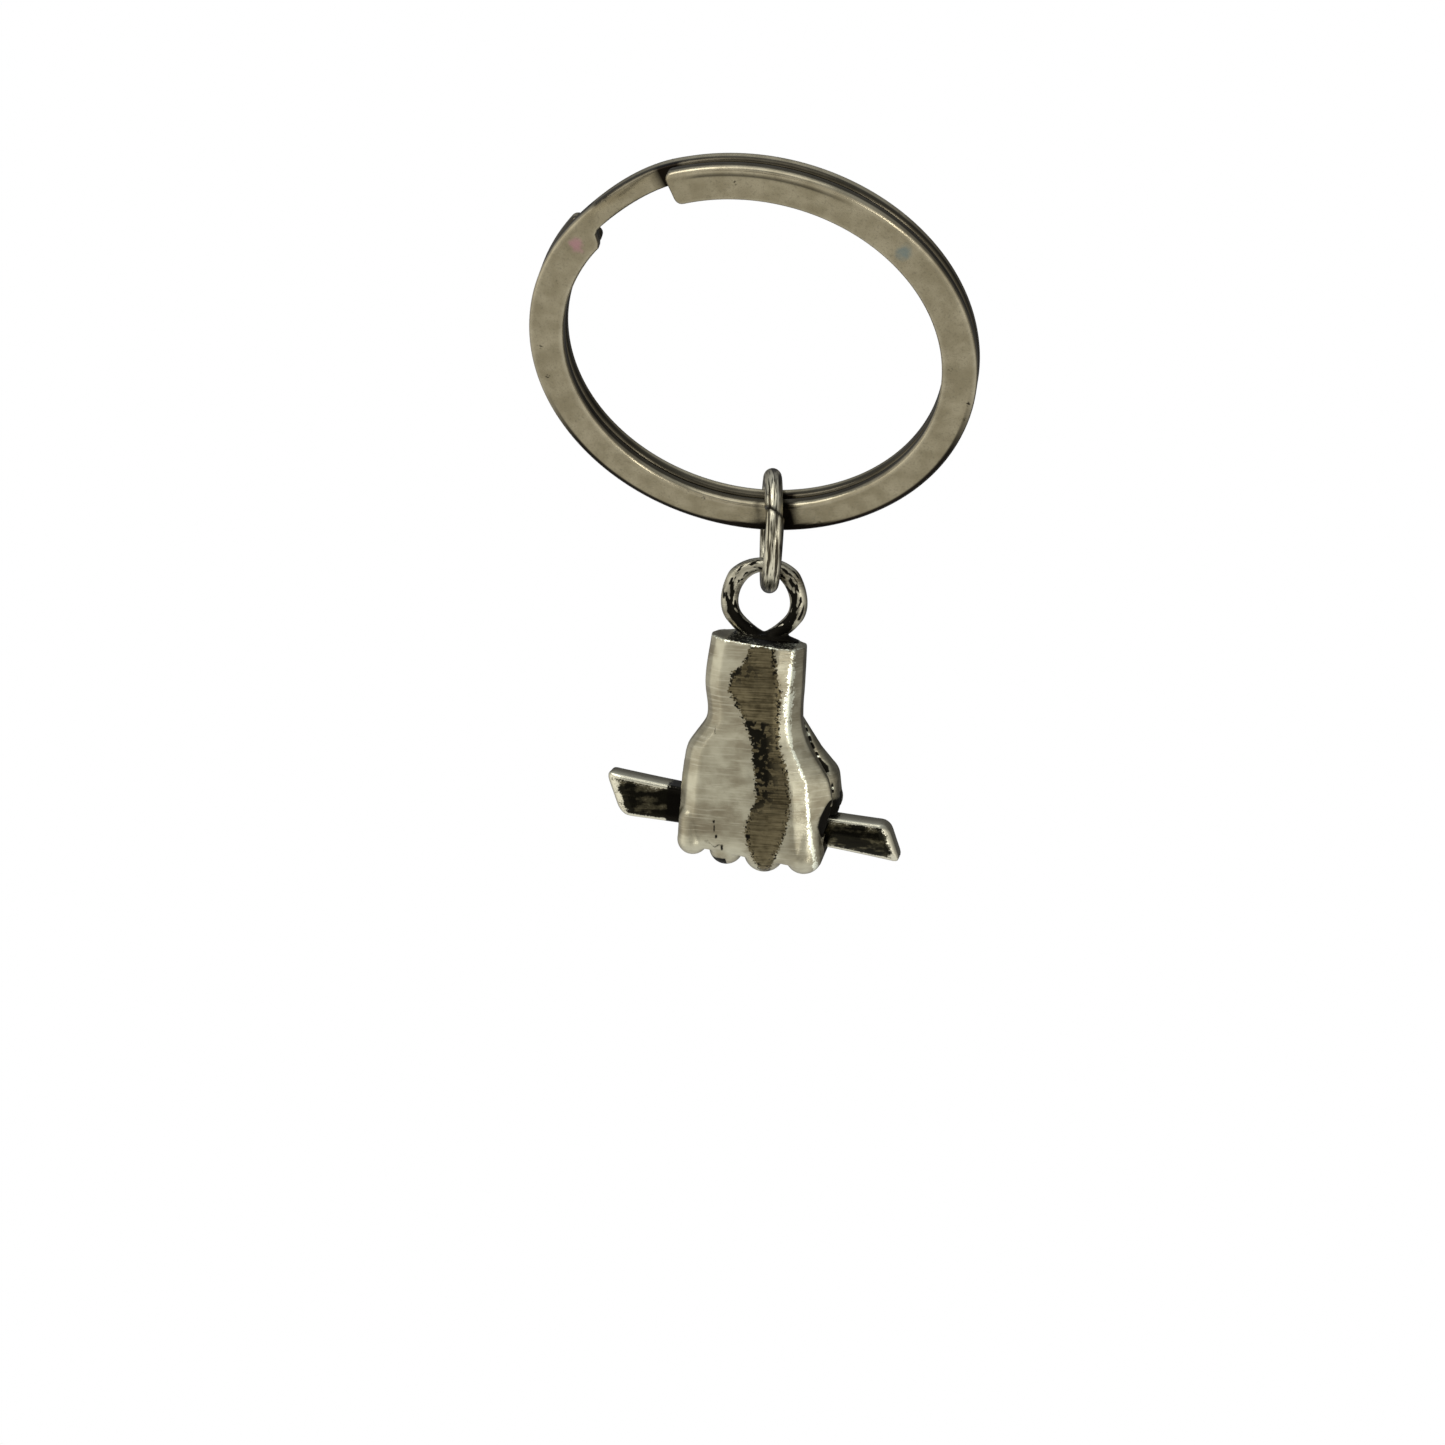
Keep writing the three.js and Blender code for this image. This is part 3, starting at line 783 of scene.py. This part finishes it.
# From the little finger to the index finger: its middle, half its width, its knuckle's lowest
# point, and how far back the knuckle is set.
FINGERS = [
    (-5.45, 1.15, -47.42, 0.05),
    (-3.05, 1.27, -48.15, 0.4),
    (-0.2, 1.52, -48.5, 0.0),
    (2.72, 1.38, -48.46, 0.0),
]
KNUCKLE_FRONT = 11.5  # how far back the knuckles start
MIDDLE_JOINT_DEPTH = 18.2  # how far back the fingers' middle joints lie
FINGER_RISE = 3.9  # from the middle joint up to the end joint
FINGERTIP_DEPTH = 15.2  # how far back the fingertips end
# The thumb's limbs: start, end, and the radius at each.
THUMB = [
    ((0.3, 14.8, -36.6), (3.4, 15.4, -42.0), 1.3, 1.48),
    ((0.2, 15.3, -38.2), (3.25, 16.7, -42.1), 1.7, 1.5),
    ((0.6, 15.0, -38.5), (1.6, 16.4, -41.6), 1.5, 1.5),
    ((3.4, 15.4, -42.0), (3.45, 16.0, -44.0), 1.45, 1.4),
    ((3.25, 16.7, -42.1), (3.35, 18.1, -44.0), 1.5, 1.36),
    ((3.35, 18.1, -44.0), (2.1, 19.5, -44.7), 1.4, 1.24),
    ((2.1, 19.5, -44.7), (-0.7, 20.2, -45.2), 1.24, 1.1),
]
THUMB_NAIL = (-0.85, -45.15)  # its middle: to the right, and height
THUMB_WRINKLES = (1.5, 1.85, 2.2)  # how far to the right
# Wrinkles across each finger: how far above its middle joint, and how deep.
WRINKLES = [
    (0.4, 0.5), (0.72, 1), (1.1, 0.6), (FINGER_RISE - 0.1, 1), (FINGER_RISE + 0.2, 0.5),
]
WRINKLE_DEPTH = 0.08
# The stain down the back of the hand: height, its left and right sides, and how black it is.
STAIN = [
    (-31.2, -1.0, 0.55, 0.1), (-31.8, -1.04, 0.62, 0.1), (-32.9, -1.54, 0.76, 0.35),
    (-33.5, -2.3, 0.84, 0.6), (-34.8, -2.55, 1.06, 0.1), (-35.8, -2.0, 1.07, 0.05),
    (-36.9, -1.45, 0.95, 0.1), (-37.15, -1.35, 0.95, 1.0), (-38.7, -0.8, 1.01, 0.95),
    (-40.0, -0.65, 1.45, 0.8), (-41.3, -0.57, 1.68, 0.75), (-42.8, -0.49, 1.91, 0.55),
    (-43.9, -1.0, 1.77, 0.3), (-45.1, -1.29, 1.56, 0.15), (-46.2, -1.14, 1.13, 0.1),
    (-47.4, -0.6, 0.6, 0.1), (-48.6, 0.0, 0.0, 0.1),
]
# Where the ridge's painted highlight runs: height, distance to the right, and how far the highlight
# spreads.
RIDGE = [
    (-31.2, 2.1, 0.12), (-32.0, 2.01, 0.26), (-34.6, 1.74, 0.5), (-36.4, 1.61, 0.46),
    (-37.75, 1.64, 0.24), (-39.0, 1.95, 0.14), (-40.4, 2.58, 0.14), (-41.5, 3.02, 0.16),
    (-43.7, 3.19, 0.22), (-45.6, 3.35, 0.22), (-47.1, 3.7, 0.26), (-48.5, 3.7, 0.3),
]
# Pits and scratches on the back of the hand: to the right, height, half their width and height,
# and how dark they are.
MARKS = [
    (-3.69, -44.5, 0.07, 0.16, 0.9), (-3.64, -45.0, 0.08, 0.3, 0.7), (-3.5, -45.6, 0.07, 0.2, 0.9),
    (-3.5, -46.35, 0.7, 0.09, 0.45), (-3.1, -46.55, 0.12, 0.3, 0.6), (-1.15, -45.65, 0.2, 0.14, 1),
    (-3.62, -37.8, 0.05, 0.34, 0.6), (-4.2, -46.2, 0.25, 0.2, 0.3),
]
# The groove between the hand and the thumb, with a pit on it, down to the bar's way in: height,
# to the right, back, and half its width.
GROOVE = [
    (-37.6, 2.42, 14.6, 0.05), (-37.9, 2.52, 14.55, 0.11), (-38.6, 2.8, 14.41, 0.13),
    (-39.1, 3.01, 14.3, 0.12), (-39.8, 3.34, 14.31, 0.13), (-40.3, 3.58, 14.32, 0.16),
    (-40.8, 3.92, 14.4, 0.33), (-41.25, 4.13, 14.5, 0.13), (-41.5, 4.27, 14.57, 0.1),
    (-42.2, 4.47, 14.51, 0.11), (-42.8, 4.5, 14.69, 0.14), (-42.95, 4.6, 13.1, 0.15),
    (-43.3, 4.46, 12.9, 0.17), (-43.7, 4.34, 12.8, 0.22), (-44.1, 4.3, 12.85, 0.42),
    (-44.8, 4.22, 12.85, 0.5), (-45.3, 4.15, 12.9, 0.32), (-45.75, 4.1, 12.95, 0.08),
]


def read_off(table, at):
    """The row of a table whose first column falls, eased straight between its rows."""
    for above, below in zip(table, table[1:]):
        if at >= below[0]:
            t = min(max((above[0] - at) / (above[0] - below[0]), 0), 1)
            return [mix(a, b, t) for a, b in zip(above[1:], below[1:])]
    return list(table[-1][1:])


def section_at(drop):
    """The hand's section at a drop, eased between the stated ones."""
    last = len(HAND_SECTIONS) - 1
    i = 0
    while i < last - 1 and drop > HAND_SECTIONS[i + 1][0]:
        i += 1
    near = [HAND_SECTIONS[min(max(i + step, 0), last)] for step in (-1, 0, 1, 2)]
    t = (drop - near[1][0]) / (near[2][0] - near[1][0])
    span = near[2][0] - near[1][0]
    eased = []
    for k in range(1, 6):
        before = (near[2][k] - near[0][k]) / max(near[2][0] - near[0][0], 0.1) * span
        after = (near[3][k] - near[1][k]) / max(near[3][0] - near[1][0], 0.1) * span
        a, b = near[1][k], near[2][k]
        eased.append(
            (2 * t**3 - 3 * t**2 + 1) * a + (t**3 - 2 * t**2 + t) * before
            + (3 * t**2 - 2 * t**3) * b + (t**3 - t**2) * after
        )
    return eased


def hand_outline(left, right, ridge, front, back):
    """The corners of one section, counterclockwise from the left side."""
    return [
        (left, mix(front, back, 0.52)),
        (left + 0.2, front + 1.3),
        (left + 0.62, front + 0.74),
        (left + 1.4, front + 0.24),
        (mix(left, ridge, 0.56), front + 0.03),
        (ridge - 1.1, front),
        (ridge, front + 0.38),
        (right, front + 1.55),
        (right - 0.05, mix(front, back, 0.7)),
        (right - 1.2, back),
        (left + 1.3, back),
        (left + 0.25, back - 1.1),
    ]


def wrist_and_palm(shape, top):
    """Lofts the wrist and the back of the hand down through their sections."""
    corners = len(hand_outline(0, 1, 1, 0, 1))
    ring = bmesh.ops.create_circle(shape, cap_ends=True, segments=corners, radius=1)["verts"]
    cap = ring[0].link_faces[0]
    for row in range(HAND_ROWS + 1):
        drop = HAND_SECTIONS[-1][0] * row / HAND_ROWS
        if row:
            made = bmesh.ops.extrude_face_region(shape, geom=[cap], use_keep_orig=row == 1)
            cap = next(g for g in made["geom"] if isinstance(g, bmesh.types.BMFace))
        slope = mix(WRIST_SLOPE, 0.0, smooth_step(0, 6, drop))
        slope += KNUCKLE_SLOPE * smooth_step(11, 16, drop)
        for vert, (x, y) in zip(list(cap.verts), hand_outline(*section_at(drop))):
            vert.co = Vector((x, y, top - drop - slope * (x + 4.2)))


def fingers(shape):
    """Four limbs from knuckle to middle joint, up to the end joint and in to the fingertip."""
    for middle, half, lowest, setback in FINGERS:
        front = KNUCKLE_FRONT + setback + half
        knuckle = Vector((middle, front, lowest + half))
        joint = Vector((middle, MIDDLE_JOINT_DEPTH, lowest + half + 0.3))
        end = joint + Vector((0, 0.15, FINGER_RISE))
        tip = Vector((middle, FINGERTIP_DEPTH, end.z + 1.1))
        limb(shape, knuckle + Vector((0, 0.05, 1.6)), knuckle, half * 0.9, half)
        limb(shape, knuckle, joint, half, half * 0.96)
        limb(shape, joint, end, half * 1.02, half * 0.97)
        limb(shape, end, tip, half * 0.98, half * 0.86)


def carve_joints(skin):
    """Sinks fine wrinkles across the joints, and the edge of the thumb's nail."""
    hollow_and_darkening = skin.verts.layers.float["hollow_and_darkening"]
    skin.normal_update()
    for vert in skin.verts:
        x, y, z = vert.co
        depth = 0
        for middle, half, lowest, _ in FINGERS:
            if y > MIDDLE_JOINT_DEPTH + 0.3 and abs(x - middle) < half:
                side = 1 - smooth_step(0.5, 0.95, abs(x - middle) / half)
                for rise, deep in WRINKLES:
                    wander = 0.09 * sin(2.1 * x + 7 * middle + 5 * rise)
                    far = (z - lowest - half - 0.3 - rise - wander) / 0.09
                    depth = max(depth, deep * side * math.exp(-far * far))
        if y > 19.2 and z < -43.4:
            on_thumb = 1 - smooth_step(0.75, 1.15, abs(z + 44.8))
            for across in THUMB_WRINKLES:
                line = math.exp(-(((x - across + 0.3 * (z + 44.7)) / 0.07) ** 2))
                depth = max(depth, line * on_thumb)
            aside, off = abs(x - THUMB_NAIL[0]), abs(z - THUMB_NAIL[1])
            if max(aside - 0.62, off - 0.6) < 0.4:
                rounded = math.hypot(max(aside - 0.32, 0), max(off - 0.3, 0)) - 0.32
                depth = max(depth, 1.3 * math.exp(-((rounded / 0.08) ** 2)))
        if depth > 0.02:
            vert.co = vert.co - vert.normal * WRINKLE_DEPTH * depth
            vert[hollow_and_darkening] = max(vert[hollow_and_darkening], 0.5 * depth)


def carve_groove(skin):
    """Sinks the groove between the hand and the thumb, and stores its wash and the painted
    highlight of its bright beads.
    """
    hollow_and_darkening = skin.verts.layers.float["hollow_and_darkening"]
    painted_glint = skin.verts.layers.float["painted_glint"]
    skin.normal_update()
    for vert in skin.verts:
        x, y, z = vert.co
        if x < 2 or z > GROOVE[0][0] or z < GROOVE[-1][0]:
            continue
        right, back, half = read_off(GROOVE, z)
        far = math.hypot(x - right, y - back) / half
        if half > 0.18 and z < -43:
            # Down here it opens into the tunnel, and is no longer closed at its back and right.
            far = math.hypot(min(x - right, 0), min(y - back, 0)) / half
            if y >= 13.9:
                continue
        if far < 3:
            wave = sin(11 * z) + 0.6 * sin(4.3 * z)
            beads = 1 if half > 0.15 else smooth_step(-0.75, 0.1, wave)
            depth = math.exp(-far * far)
            vert.co = vert.co - vert.normal * min(0.7 * half, 0.14) * depth
            vert[hollow_and_darkening] = max(vert[hollow_and_darkening], 1.7 * depth * beads)
            vert[painted_glint] = max(vert[painted_glint], 0.9 * depth * (1 - beads))


def cut_tunnel(skin):
    """Cuts the tunnel that the bar passes through."""
    blanks = []
    for shape in (skin, bar_shape(TUNNEL_PLAY)):
        mesh = bpy.data.meshes.new("cut")
        shape.to_mesh(mesh)
        shape.free()
        blanks.append(bpy.data.objects.new("cut", mesh))
        bpy.context.scene.collection.objects.link(blanks[-1])
    cut = blanks[0].modifiers.new("cut", "BOOLEAN")
    cut.object = blanks[1]
    cut.operation = "DIFFERENCE"
    cut.solver = "EXACT"
    view = bpy.context.evaluated_depsgraph_get()
    drilled = bmesh.new()
    drilled.from_mesh(blanks[0].evaluated_get(view).to_mesh())
    for blank in blanks:
        mesh = blank.data
        bpy.data.objects.remove(blank)
        bpy.data.meshes.remove(mesh)
    return drilled


def mark_mouth(skin):
    """Stores painted shade round the tunnel's mouths."""
    hollow_and_darkening = skin.verts.layers.float["hollow_and_darkening"]
    low, high = mm_box("grip_bar")
    tilt = Matrix.Rotation(radians(BAR_SLOPE), 4, "Y")
    to_bar = (Matrix.Translation((low + high) / 2) @ tilt).inverted()
    for vert in skin.verts:
        p = to_bar @ vert.co
        over = max(abs(p.y) - BAR_DEPTH / 2, abs(p.z) - BAR_HEIGHT / 2)
        reach = 1.5 if p.x > 0 else 0.5
        vert[hollow_and_darkening] = max(vert[hollow_and_darkening], 1.3 * (1 - smooth_step(0.15, reach, over)))


def mark_stain_and_painted_light(skin, top):
    """Stores the stain down the back of the hand, the painted highlight along its ridge and the
    wrist's edge, painted shade under the ring finger, and the wrist's dark end.
    """
    stain = skin.verts.layers.float["stain"]
    black = skin.verts.layers.float.new("black")
    painted_glint = skin.verts.layers.float.new("painted_glint")
    hollow_and_darkening = skin.verts.layers.float["hollow_and_darkening"]
    skin.normal_update()
    for vert in skin.verts:
        x, y, z = vert.co
        if vert.normal.y < -0.15 and y < 13.5:
            left, right, blackness = read_off(STAIN, z)
            vert[stain] = max(min(x - left, right - x), -1)
            vert[black] = blackness * (1.15 - 0.85 * smooth_step(left, right, x))
            for across, height, wide, tall, depth in MARKS:
                wavy = height + 0.13 * wide * sin(9 * x) + 0.1 * sin(4 * x)
                far = ((x - across) / wide) ** 2 + ((z - wavy) / tall) ** 2
                if far < 3:
                    vert[hollow_and_darkening] = max(vert[hollow_and_darkening], depth * math.exp(-far * far))
            # A painted highlight along the ridge.
            along, spread = read_off(RIDGE, z)
            vert[painted_glint] = 1 - smooth_step(0.02, spread, abs(x - along))
            # The hand's soft left edge is rubbed less bright than its crisp ones.
            if x < -3.6:
                vert[hollow_and_darkening] = max(vert[hollow_and_darkening], -0.4)
            # The ring finger's knuckle is undercut at its lower left, and painted shade darkens its
            # downward faces there.
            if -4.4 < x < -2.9:
                undercut = smooth_step(0.3, 0.6, -vert.normal.z) * smooth_step(47.2, 47.6, -z)
                vert[hollow_and_darkening] = max(vert[hollow_and_darkening], undercut)
        # The wrist's end is darkened, with a painted highlight along its edge.
        if vert.normal.z > 0.2 and z > top - 1.3:
            inset = smooth_step(0.4, 1.0, min(x + 3.5, 2.62 - x))
            vert[hollow_and_darkening] = max(vert[hollow_and_darkening], inset * smooth_step(0.86, 0.98, vert.normal.z))
            vert[painted_glint] = max(vert[painted_glint], 0.8 - 1.6 * abs(vert.normal.z - 0.6))


def fist():
    top = mm_box("fist")[1].z
    shape = bmesh.new()
    wrist_and_palm(shape, top)
    fingers(shape)
    for start, end, first, last in THUMB:
        limb(shape, start, end, first, last)
    skin = cast_from(shape, FIST_VOXEL, 4)
    mark_hollows(skin, 18, 0.2)
    carve_joints(skin)
    skin = cut_tunnel(skin)
    mark_mouth(skin)
    mark_stain_and_painted_light(skin, top)
    carve_groove(skin)
    return finished(
        "fist_casting", skin,
        antiqued_pewter("fist_pewter", (0.3, 0.27, 0.19, 1), (0.48, 0.455, 0.34, 1)),
        "charm", ["fist"],
    )


fist()


# ---- Stage -------------------------------------------------------------------
# A pale round floor well below the keychain, soft lights, and a room that is bright at its sides
# and dark behind the viewer. Sizes here are in metres.

FLOOR_DROP = 0.2
FLOOR_RADIUS = 0.42
LIGHT_DISTANCE = 0.6


def pale_floor():
    """A white floor to the camera, and a lit grey one that fades out behind to the metal."""
    finish = bpy.data.materials.new("pale_floor")
    finish.use_nodes = True
    tree = finish.node_tree
    shader = tree.nodes["Principled BSDF"]
    shader.inputs["Base Color"].default_value = (0.5, 0.5, 0.5, 1)
    shader.inputs["Emission Color"].default_value = (1, 1, 1, 1)
    shader.inputs["Emission Strength"].default_value = 0.5
    shader.inputs["Roughness"].default_value = 0.9
    start = Socket(tree)
    place = start.node("TexCoord", {}, {}, "Object")
    away = start.node("VectorMath", {"operation": "LENGTH"}, {0: place}, "Value")
    parts = start.node("SeparateXYZ", {}, {0: place})
    behind = Socket(tree, parts.link.node.outputs[1]).between(0.1, 0.5)
    faded = start.math("MAXIMUM", away.between(0.35, 0.95), behind * 0.85)
    clear = start.node("BsdfTransparent")
    solid = Socket(tree, shader.outputs[0])
    lit = start.node("MixShader", {}, {0: faded, 1: solid, 2: clear})
    seen = start.node("Emission", {}, {"Color": (1, 1, 1, 1), "Strength": 1.0})
    ray = start.node("LightPath", {}, {}, "Is Camera Ray")
    shown = start.node("MixShader", {}, {0: ray, 1: lit, 2: seen})
    tree.links.new(shown.link, tree.nodes["Material Output"].inputs["Surface"])
    return finish


def stage():
    disc = bmesh.new()
    bmesh.ops.create_circle(disc, cap_ends=True, segments=96, radius=1)
    mesh = bpy.data.meshes.new("floor")
    disc.to_mesh(mesh)
    disc.free()
    mesh.materials.append(pale_floor())
    floor = bpy.data.objects.new("floor", mesh)
    floor.location = (0, 0, cad_box[0][2] - FLOOR_DROP)
    floor.scale = (FLOOR_RADIUS, FLOOR_RADIUS, 1)
    bpy.context.scene.collection.objects.link(floor)


def softbox(name, azimuth, elevation, size, power):
    """A rectangular light that faces the keychain."""
    low, high = cad_box
    middle = (Vector(low) + Vector(high)) / 2
    away = Vector((
        sin(radians(azimuth)) * cos(radians(elevation)),
        -cos(radians(azimuth)) * cos(radians(elevation)),
        sin(radians(elevation)),
    ))
    lamp = bpy.data.lights.new(name, "AREA")
    lamp.shape = "RECTANGLE"
    lamp.size, lamp.size_y = size
    lamp.energy = power
    lamp.color = (1, 0.99, 0.97)
    light = bpy.data.objects.new(name, lamp)
    light.location = middle + away * LIGHT_DISTANCE
    light.rotation_euler = (-away).to_track_quat("-Z", "Z").to_euler()
    bpy.context.scene.collection.objects.link(light)


# Which way, the dot products where it starts and is full, and how bright.
ROOM_LIGHT = [
    ((-0.64, -0.75, -0.15), 0.5, 0.92, 0.85),
    ((-0.97, 0.15, -0.15), 0.55, 0.95, 0.55),
    ((0.62, -0.77, -0.15), 0.5, 0.92, 0.62),
    ((0.97, -0.1, -0.2), 0.6, 0.95, 0.36),
]
VIEWER_WAY = (-0.1, -0.965, -0.24)


def facing(start, way, toward):
    """1 where a direction is the same as another, and less the further it is from it."""
    return start.node("VectorMath", {"operation": "DOT_PRODUCT"}, {0: way, 1: toward}, "Value")


def room():
    """The room's light by direction, and a pale backdrop for the camera."""
    world = bpy.data.worlds.new("room")
    bpy.context.scene.world = world
    world.use_nodes = True
    tree = world.node_tree
    start = Socket(tree)
    way = start.node("TexCoord", {}, {}, "Generated")
    parts = start.node("SeparateXYZ", {}, {0: way})
    rise = Socket(tree, parts.link.node.outputs[2])
    # Bright above and to both sides. Dark behind the viewer and behind the keychain.
    level = 0.09 + rise.between(0.2, 0.95) * 0.5 + (rise * -1.0).between(0.4, 0.9) * 0.5
    for toward, low, high, strength in ROOM_LIGHT:
        level = level + facing(start, way, toward).between(low, high) * strength
    level = level * (1 - facing(start, way, VIEWER_WAY).between(0.965, 0.99) * 0.85)
    tint = blend(start, (1, 0.985, 0.95, 1), (0.9, 0.95, 1, 1), rise.between(0.1, 0.9))
    lit = start.node("Background", {}, {"Color": tint, "Strength": level})
    seen = start.node("Background", {}, {"Color": (1, 1, 1, 1), "Strength": 1.0})
    ray = start.node("LightPath", {}, {}, "Is Camera Ray")
    both = start.node("MixShader", {}, {0: ray, 1: lit, 2: seen})
    tree.links.new(both.link, tree.nodes["World Output"].inputs["Surface"])


stage()
room()
softbox("key_light", -55, 50, (0.4, 0.4), 1.6)
softbox("edge_light", 40, -8, (0.05, 0.4), 0.5)
softbox("top_light", 20, 80, (0.5, 0.5), 0.8)


# ---- Camera ------------------------------------------------------------------
# It stands a little to the right and a little above, at the distance of a close product shot.

CAMERA_AZIMUTH = 11.7
CAMERA_ELEVATION = 14
CAMERA_LENS = 58.55
CAMERA_FILM = 36
# Where the split ring's middle is from the camera: to the right, ahead and up.
CAMERA_TO_RING = (2.0, 156.1, 24.5)


def camera():
    azimuth = radians(CAMERA_AZIMUTH)
    elevation = radians(CAMERA_ELEVATION)
    right = Vector((cos(azimuth), sin(azimuth), 0))
    level = Vector((-sin(azimuth), cos(azimuth), 0))
    ahead = level * cos(elevation) - Vector((0, 0, sin(elevation)))
    up = right.cross(ahead)
    outer, lean = ring_size_and_lean()
    ring_middle = Vector((0, -sin(lean), cos(lean))) * (STRIP_WIDTH - outer)
    steps = CAMERA_TO_RING
    place = ring_middle - right * steps[0] - ahead * steps[1] - up * steps[2]
    lens = bpy.data.cameras.new("camera")
    lens.sensor_width = CAMERA_FILM
    lens.lens = CAMERA_LENS
    lens.clip_start = 0.005
    view = bpy.data.objects.new("camera", lens)
    turned = Matrix((right, up, -ahead)).transposed().to_4x4()
    view.matrix_world = Matrix.Translation(place * MM) @ turned
    bpy.context.scene.collection.objects.link(view)
    bpy.context.scene.camera = view
    bpy.context.scene.view_settings.view_transform = "Standard"


camera()
